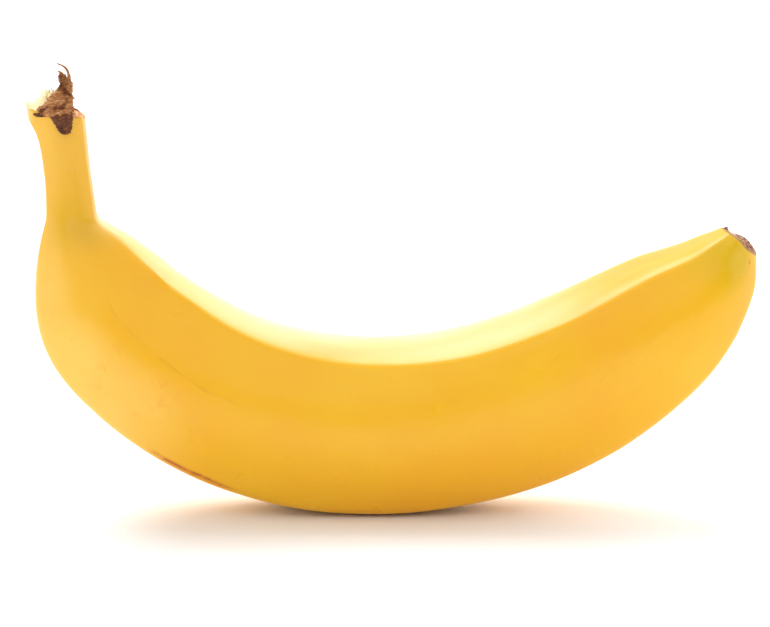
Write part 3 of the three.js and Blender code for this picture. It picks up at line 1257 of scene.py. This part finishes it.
@dataclass
class Shreds:
    """Loose fibres and shreds that stand out of the torn stem."""

    name: str
    seed: int
    count: int
    spread: Callable[[random.Random], tuple[Vector, Vector, float, float]]
    fixed: list[tuple[list[tuple[float, float, float]], float]] = field(default_factory=list)
    steps: int = 5
    curl: float = 0.35

    def build(self, origin: np.ndarray, material: bpy.types.Material) -> bpy.types.Object:
        """Makes the shreds.

        Args:
            origin: the middle of the stem's end, in mm.
            material: their finish.

        Returns:
            The piece.
        """
        bm = bmesh.new()
        base = Vector(origin)
        for points, radius in self.fixed:
            path = self.smooth_path([Vector(point) for point in points])
            strand(bm, [base + point for point in path], self.taper(radius, len(path)))
        draw = random.Random(self.seed)
        for _ in range(self.count):
            root, way, length, radius = self.spread(draw)
            curl = Vector((draw.uniform(-1, 1), draw.uniform(-1, 1), draw.uniform(-0.4, 0.4)))
            curl *= self.curl
            path = []
            for step in range(self.steps + 1):
                share = step / self.steps
                path.append(base + root + (way + curl * share) * (length * share))
            strand(bm, path, self.taper(radius, len(path)), sides=5)
        for face in bm.faces:
            face.smooth = True
        bmesh.ops.recalc_face_normals(bm, faces=bm.faces)
        return finished(self.name, bm, material)

    @staticmethod
    def smooth_path(points: list[Vector]) -> list[Vector]:
        """Eighteen points on a smooth run through the given ones."""
        places = list(range(len(points)))
        return [Vector(smooth_run(places, points, where)) for where in np.linspace(0, places[-1], 18)]

    @staticmethod
    def taper(radius: float, count: int) -> list[float]:
        """Radii that fall from the root to a fine point."""
        return [radius * (1.0 - 0.93 * (step / (count - 1)) ** 1.3) for step in range(count)]


@dataclass
class BlossomScar:
    """The corky disc where the flower dropped off: a brown mass, a low pale lip and one dark nub."""

    form: FruitForm
    margin: float = 0.15
    root: float = 1.4
    raggedness: float = 0.035
    side_share: float = 1.25
    lip_height: float = 0.25
    lip_narrowing: float = 0.6
    mass_height: float = 0.45
    nub_place: float = 4.1
    nub_height: float = 0.65
    nub_size: float = 0.7
    rows: int = 64
    columns: int = 120

    def build(self, material: bpy.types.Material) -> bpy.types.Object:
        """Makes the scar.

        Args:
            material: its finish.

        Returns:
            The piece.
        """
        form = self.form
        section = form.scar_end
        ahead, to_inner = form.line.ways(form.line.length)
        offset = (section.inner - section.outer) / 2.0
        middle = form.line.at(form.line.length)[0] + to_inner * offset
        turn = np.linspace(0.0, math.tau, self.columns + 1)
        loop = np.stack([np.cos(turn), np.sin(turn), np.zeros_like(turn)], axis=1)
        ragged = 1.0 + self.raggedness * rough(loop * 5.0, 2.2, 8.0, 3)
        half_thick = (section.inner + section.outer) / 2.0 - self.margin
        half_wide = section.width / 2.0 - self.margin
        shares = np.linspace(-1.0, 1.0, self.rows)
        reaches = np.minimum(1.0, (1.0 - np.abs(shares)) * self.side_share)
        rings = []
        spots = []
        for share, reach in zip(shares, reaches):
            u = half_thick * reach * np.cos(turn) * ragged
            w = half_wide * reach * np.sin(turn) * ragged
            w *= 1.0 - self.lip_narrowing * smooth_step(u, -1.0, 2.5) * (w > 0.0)
            under = np.full_like(u, -self.root * (1.0 - reach * 0.3))
            height = under if share < 0 else self.relief(u, w, reach)
            height = height + form.scar_slant(u + offset, w)
            points = middle + np.outer(u, to_inner) + np.outer(height, ahead)
            points[:, 1] += w
            rings.append(points)
            spots.append(u)
        points = np.stack(rings)
        points[0] = points[0].mean(axis=0)
        points[-1] = points[-1].mean(axis=0)
        points[:, -1] = points[:, 0]
        bm = wrapped_grid(points + form.seat(), np.stack(spots) * MM, turn / math.tau, reaches)
        return finished("blossom_scar", bm, material)

    def relief(self, u: np.ndarray, w: np.ndarray, reach: float) -> np.ndarray:
        """Height of the cork above the end of the peel.

        Args:
            u: mm from the middle of the scar towards the inner side of the bend.
            w: mm from it towards the back.
            reach: share of the way out to the scar's edge.

        Returns:
            The height in mm.
        """
        flat = np.stack([u, w, np.zeros_like(u)], axis=1)
        mass = self.mass_height * hump(u, -1.2, 3.1) * smooth_step(1.0 - reach, 0.0, 0.5)
        crust = (0.3 * rough(flat, 1.3, 9.0, 3) + 0.2 * rough(flat, 0.55, 10.0, 2)) * hump(u, -1.6, 3.4)
        nub = self.nub_height * hump(u, self.nub_place, self.nub_size)
        nub = nub * hump(w, 0.0, self.nub_size * 1.6)
        shoulder = float(smooth_step(1.0 - reach, 0.0, 0.1))
        return (self.lip_height + mass + crust + nub) * shoulder - 0.1 * (1.0 - shoulder)


# ---------------------------------------------------------------------------------------------------
# The set
# ---------------------------------------------------------------------------------------------------


@dataclass(frozen=True)
class Panel:
    """A broad soft light that faces the fruit: its place, its sides in metres and its brightness."""

    name: str
    place: tuple[float, float, float]
    width: float
    height: float
    brightness: float

    def build(self, target: Vector) -> None:
        """Hangs the panel, unseen itself, facing the target."""
        data = bpy.data.lights.new(self.name, "AREA")
        data.shape = "RECTANGLE"
        data.size = self.width
        data.size_y = self.height
        data.energy = math.pi * self.width * self.height * self.brightness
        panel = bpy.data.objects.new(self.name, data)
        panel.location = self.place
        panel.rotation_euler = (Vector(self.place) - target).to_track_quat("Z", "Y").to_euler()
        panel.visible_camera = False
        bpy.context.scene.collection.objects.link(panel)


@dataclass
class Studio:
    """A pale floor, soft even light and the camera."""

    target: tuple[float, float, float] = (-0.0019, 0.0, 0.045)
    elevation: float = 11.0
    distance: float = 0.5807
    lens: float = 120.0
    sensor: float = 36.0
    floor_size: float = 2.6
    room_light: float = 0.05
    key_power: float = 1.67
    key_angle: float = 40.0
    key_from: tuple[float, float, float] = (-0.35, 0.5, 1.0)
    panels: tuple[Panel, ...] = (
        Panel("back_panel", (0.7, 1.4, 0.6), 2.4, 1.1, 2.5),
        Panel("back_high_panel", (0.0, 1.1, 1.2), 2.4, 1.0, 2.1),
        Panel("top_panel", (0.0, 0.0, 1.4), 1.8, 1.8, 1.1),
        Panel("stem_side_panel", (-1.4, 0.0, 0.5), 1.6, 1.0, 1.6),
        Panel("blossom_side_panel", (1.4, 0.0, 0.5), 1.6, 1.0, 1.3),
        Panel("front_panel", (0.0, -1.3, 0.85), 2.2, 1.3, 1.26),
    )

    def build(self) -> None:
        """Makes the set."""
        self.floor()
        self.light()
        self.camera()

    def floor(self) -> None:
        """Lays the floor at the fruit's lowest point."""
        bm = bmesh.new()
        matrix = Matrix.Translation((0.0, 0.0, CAD_BOX[0].z))
        bmesh.ops.create_grid(bm, x_segments=1, y_segments=1, size=self.floor_size / 2, matrix=matrix)
        mesh = bpy.data.meshes.new("floor")
        bm.to_mesh(mesh)
        bm.free()
        mesh.materials.append(FloorFinish().material())
        floor = bpy.data.objects.new("floor", mesh)
        bpy.context.scene.collection.objects.link(floor)

    def light(self) -> None:
        """Shows white all round, and lights the set with soft panels and one broad key from behind."""
        scene = bpy.context.scene
        scene.view_settings.view_transform = "Standard"
        world = bpy.data.worlds.new("white_room")
        world.use_nodes = True
        tree = world.node_tree
        background = tree.nodes["Background"]
        background.inputs["Color"].default_value = (1.0, 1.0, 1.0, 1.0)
        seen = tree.nodes.new("ShaderNodeLightPath").outputs["Is Camera Ray"]
        strength = tree.nodes.new("ShaderNodeMath")
        strength.operation = "MAXIMUM"
        strength.inputs[1].default_value = self.room_light
        tree.links.new(seen, strength.inputs[0])
        tree.links.new(strength.outputs[0], background.inputs["Strength"])
        scene.world = world
        for panel in self.panels:
            panel.build(Vector(self.target))
        sun = bpy.data.lights.new("broad_key", "SUN")
        sun.energy = self.key_power
        sun.angle = math.radians(self.key_angle)
        key = bpy.data.objects.new("broad_key", sun)
        key.rotation_euler = Vector(self.key_from).to_track_quat("Z", "Y").to_euler()
        scene.collection.objects.link(key)

    def camera(self) -> None:
        """Sets the camera square to the fruit's length, looking a little down."""
        data = bpy.data.cameras.new("camera")
        data.lens = self.lens
        data.sensor_width = self.sensor
        camera = bpy.data.objects.new("camera", data)
        lift = math.radians(self.elevation)
        back = Vector((0.0, -math.cos(lift), math.sin(lift)))
        camera.location = Vector(self.target) + back * self.distance
        camera.rotation_euler = back.to_track_quat("Z", "Y").to_euler()
        bpy.context.scene.collection.objects.link(camera)
        bpy.context.scene.camera = camera


# ---------------------------------------------------------------------------------------------------
# The whole banana
# ---------------------------------------------------------------------------------------------------


@dataclass
class TornStem:
    """Everything that was torn when the fruit left its bunch, on top of the stem."""

    form: FruitForm
    dark: TissueFinish = TissueFinish(
        "tissue_dark", (0.05, 0.012, 0.005), (0.12, 0.036, 0.013), (0.27, 0.11, 0.045), 0.45, 0.2
    )
    brown: TissueFinish = TissueFinish(
        "tissue_brown", (0.13, 0.034, 0.010), (0.38, 0.145, 0.045), (0.70, 0.38, 0.17), 0.7
    )
    cream: TissueFinish = TissueFinish(
        "tissue_cream", (0.93, 0.72, 0.34), (0.97, 0.90, 0.62), (0.98, 0.95, 0.80), 0.7
    )
    tongue: tuple[Girdle, ...] = (
        Girdle(0.2, -2.4, 2.7, 1.6),
        Girdle(1.2, -5.4, 3.2, 2.4),
        Girdle(2.2, -5.0, 3.3, 2.6),
        Girdle(3.2, -3.5, 2.9, 2.6),
        Girdle(4.4, -2.6, 3.0, 2.4),
        Girdle(5.4, -1.8, 2.6, 2.2),
        Girdle(6.2, -0.7, 2.7, 2.0),
        Girdle(7.6, -0.1, 2.6, 1.7),
        Girdle(9.0, -0.2, 1.6, 1.3),
        Girdle(10.0, -0.5, 0.5, 0.7),
    )
    flap: tuple[Girdle, ...] = (
        Girdle(-3.4, 0.0, 2.6, 0.8),
        Girdle(-2.6, -0.2, 2.7, 1.2),
        Girdle(-1.4, -0.8, 2.8, 1.4),
        Girdle(0.0, -1.7, 3.0, 1.6),
        Girdle(1.2, -2.4, 3.0, 1.5),
        Girdle(2.3, -2.2, 2.8, 0.8),
    )
    fold: tuple[Girdle, ...] = (
        Girdle(0.35, -5.3, -3.6, 0.5),
        Girdle(0.75, -6.1, -1.8, 0.9),
        Girdle(1.15, -6.2, -1.0, 0.9),
        Girdle(1.6, -5.4, -3.0, 0.5),
    )

    def build(self) -> list[bpy.types.Object]:
        """Makes the torn pieces and returns them."""
        origin = self.form.line.at(0.0)[0] + self.form.seat()
        dark = self.dark.material()
        brown = self.brown.material()
        cream = self.cream.material()
        return [
            TornLobe("torn_tongue", self.tongue, 0.1, 0.4, 0.3, 5.0).build(origin, brown),
            TornLobe("torn_flap", self.flap, 0.45, 0.2, 0.14, 6.0, squareness=7).build(origin, dark),
            TornLobe("torn_fold", self.fold, 0.35, 0.35, 0.2, 7.0, rows=40).build(origin, dark),
            Shreds("torn_fibres", 11, 150, self.tongue_fibre, self.long_fibres()).build(origin, brown),
            Shreds("pith_shreds", 12, 60, self.pith_shred).build(origin, cream),
        ]

    @staticmethod
    def long_fibres() -> list[tuple[list[tuple[float, float, float]], float]]:
        """The few long fibres that stand up from the tongue, as points in mm and root radius."""
        return [
            ([(2.1, -2.6, 6.8), (1.9, -2.3, 9.2), (1.4, -2.1, 10.6), (0.5, -2.0, 11.4),
              (-0.5, -2.0, 11.8), (-1.2, -2.0, 12.3)], 0.42),
            ([(1.2, -2.4, 8.0), (0.6, -2.3, 9.4), (-0.2, -2.2, 10.1), (-0.9, -2.2, 10.2)], 0.4),
            ([(0.8, -2.4, 7.6), (0.2, -2.4, 8.6), (-0.6, -2.3, 9.2)], 0.35),
            ([(0.6, -2.6, 7.0), (0.1, -2.5, 7.9), (-0.5, -2.5, 8.3)], 0.3),
            ([(2.0, -5.0, 3.0), (3.2, -4.6, 2.2), (4.7, -3.2, 1.1)], 0.22),
            ([(2.4, -3.4, 5.0), (3.0, -3.6, 4.4), (3.5, -3.8, 3.9)], 0.3),
        ]

    @staticmethod
    def tongue_fibre(draw: random.Random) -> tuple[Vector, Vector, float, float]:
        """A short fibre on the tongue: its root, its way, its length and its radius in mm."""
        height = draw.uniform(0.8, 9.0)
        left = -5.0 + 5.0 * min(1.0, height / 6.0)
        right = 3.0 - 1.2 * max(0.0, height - 7.0) / 2.0
        x = draw.uniform(left, right - 0.4)
        lean = min(1.0, height / TornLobe.lean_top)
        bow = math.sqrt(max(0.1, 1.0 - (x / TornLobe.stem_reach) ** 2))
        y = -(5.9 * (1.0 - lean) + 3.0 * lean) * bow
        way = Vector((draw.uniform(-0.8, 0.2), draw.uniform(-0.15, 0.05), draw.uniform(0.5, 0.9)))
        length, radius = draw.uniform(0.8, 1.8), draw.uniform(0.07, 0.18)
        return Vector((x, y, height)), way.normalized(), length, radius

    @staticmethod
    def pith_shred(draw: random.Random) -> tuple[Vector, Vector, float, float]:
        """A pale shred standing in the torn end: its root, its way, its length and its radius in mm."""
        x = draw.uniform(-6.4, 2.0)
        y = draw.uniform(-3.2, 3.6)
        height = 0.8 + 4.6 * float(hump(x, -2.8, 2.8)) * float(hump(y, 0.6, 3.8))
        way = Vector((draw.uniform(-0.35, 0.35), draw.uniform(-0.3, 0.3), 1.0))
        length, radius = draw.uniform(0.6, 1.9), draw.uniform(0.18, 0.4)
        return Vector((x, y, height)), way.normalized(), length, radius


@dataclass
class Banana:
    """The fruit: its peel, its torn stem and its blossom scar."""

    form: FruitForm = field(default_factory=FruitForm)

    def build(self) -> None:
        """Makes every piece."""
        Peel(self.form).build(PeelFinish().material(self.form.line))
        TornStem(self.form).build()
        BlossomScar(self.form).build(CorkFinish().material())


def main() -> None:
    """Makes the banana and the set."""
    logging.basicConfig(level=logging.INFO, format="%(name)s: %(message)s")
    Banana().build()
    Studio().build()


if __name__ == "__main__":
    main()
